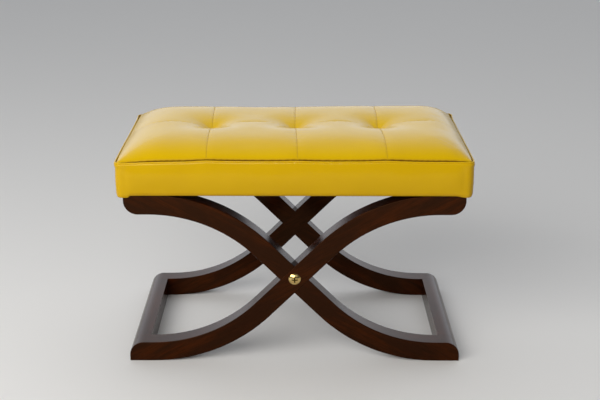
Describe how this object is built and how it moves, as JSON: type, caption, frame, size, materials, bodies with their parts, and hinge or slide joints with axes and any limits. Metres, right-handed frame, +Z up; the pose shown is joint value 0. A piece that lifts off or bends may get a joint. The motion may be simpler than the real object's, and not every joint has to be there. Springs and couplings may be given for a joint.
{
  "type": "x bench",
  "caption": "Low upholstered bench: a tufted box seat with piping, on two crosses of curved wooden arms joined by floor and seat rails.",
  "frame": {"origin": "on the floor, under the middle of the seat", "axes": "+X along the bench to the right, +Y from the front to the rear, +Z up"},
  "size_m": [0.72, 0.412, 0.4735],
  "materials": {
    "stained_wood": "dark stain under satin lacquer",
    "dowel_wood": "plain turned wood",
    "plywood": "sanded veneer",
    "yellow_leather": "smooth coated leather with a soft gloss",
    "brass": "polished",
    "foam": "open-cell foam",
    "wadding": "fibre fleece",
    "cord": "twisted cord",
    "dust_cloth": "thin bonded cloth",
    "zinc_steel": "zinc plated"
  },
  "bodies": {
    "root": {"front_arm_rising_right": "stained_wood", "front_arm_rising_left": "stained_wood", "rear_arm_rising_left": "stained_wood", "rear_arm_rising_right": "stained_wood", "left_foot_rail": "stained_wood", "right_foot_rail": "stained_wood", "left_top_rail": "stained_wood", "right_top_rail": "stained_wood", "foot_rail_dowels": "dowel_wood", "top_rail_dowels": "dowel_wood", "seat_board": "plywood", "front_band": "yellow_leather", "rear_band": "yellow_leather", "left_band": "yellow_leather", "right_band": "yellow_leather", "piping_cover": "yellow_leather", "top_panel_front_1": "yellow_leather", "top_panel_front_2": "yellow_leather", "top_panel_front_3": "yellow_leather", "top_panel_front_4": "yellow_leather", "top_panel_rear_1": "yellow_leather", "top_panel_rear_2": "yellow_leather", "top_panel_rear_3": "yellow_leather", "top_panel_rear_4": "yellow_leather", "front_cross_screw": "brass", "rear_cross_screw": "brass", "foam_block": "foam", "wadding": "wadding", "piping_cord": "cord", "tuft_cords": "cord", "dust_cover": "dust_cloth", "seat_bolts": "zinc_steel", "bolt_washers": "zinc_steel", "tee_nuts": "zinc_steel", "staples": "zinc_steel", "tuft_washers": "zinc_steel"}
  },
  "joints": []
}
